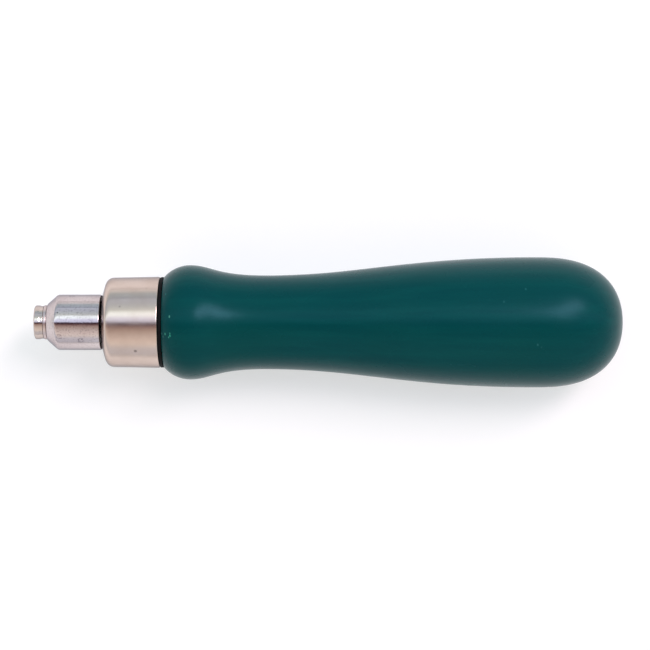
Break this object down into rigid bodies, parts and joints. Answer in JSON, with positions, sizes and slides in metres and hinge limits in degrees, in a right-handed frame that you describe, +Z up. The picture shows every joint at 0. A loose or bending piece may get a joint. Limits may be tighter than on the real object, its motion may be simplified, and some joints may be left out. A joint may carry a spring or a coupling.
{
  "type": "ring mandrel handle",
  "caption": "Turned lacquered handle with a metal ferrule and a spring-loaded ball-lock socket that takes the shank of a ring mandrel.",
  "frame": {"origin": "under the middle of the tool's length, on the surface that it lies on", "axes": "+X along the tool's axis from the socket's mouth to the butt, +Z up; the axis is level, at the height of the handle's largest radius"},
  "size_m": [0.1302, 0.0288, 0.0289],
  "materials": {
    "teal_lacquer": "satin-gloss dark teal lacquer over turned hardwood, with a few small nicks",
    "black_fibre": "matte black fibre washer",
    "satin_nickel": "warm satin nickel plate, finely turned round the axis",
    "black_nylon": "moulded black nylon",
    "tool_steel": "ground tool steel, slightly tarnished",
    "spring_steel": "pale satin spring steel",
    "bright_zinc": "bright zinc plate with small pits and stains",
    "blued_spring_wire": "dark blued spring wire",
    "bearing_steel": "polished bearing balls"
  },
  "bodies": {
    "grip": {"handle": "teal_lacquer", "shoulder_washer": "black_fibre", "ferrule": "satin_nickel", "guide_bush": "black_nylon", "socket_spindle": "tool_steel", "retaining_ring": "spring_steel", "tang_pin": "tool_steel", "sleeve_spring": "blued_spring_wire"},
    "sleeve": {"release_sleeve": "bright_zinc"},
    "ball_1": {"locking_ball_1": "bearing_steel"},
    "ball_2": {"locking_ball_2": "bearing_steel"},
    "ball_3": {"locking_ball_3": "bearing_steel"}
  },
  "joints": [
    {"name": "sleeve_slide", "type": "slide", "parent": "grip", "child": "sleeve", "axis": [1, 0, 0], "range_m": [0, 0.003], "stiffness_N_per_m": 1600, "springref_m": -0.0025, "deforming": ["sleeve_spring"]},
    {"name": "ball_slide_1", "type": "slide", "parent": "grip", "child": "ball_1", "axis": [0, 0, 1], "range_m": [0, 0.00061]},
    {"name": "ball_slide_2", "type": "slide", "parent": "grip", "child": "ball_2", "axis": [0, -0.866, -0.5], "range_m": [0, 0.00061]},
    {"name": "ball_slide_3", "type": "slide", "parent": "grip", "child": "ball_3", "axis": [0, 0.866, -0.5], "range_m": [0, 0.00061]}
  ],
  "couplings": [
    {"joint": "ball_slide_1", "follows": "sleeve_slide", "ratio": 0.2},
    {"joint": "ball_slide_2", "follows": "sleeve_slide", "ratio": 0.2},
    {"joint": "ball_slide_3", "follows": "sleeve_slide", "ratio": 0.2}
  ]
}
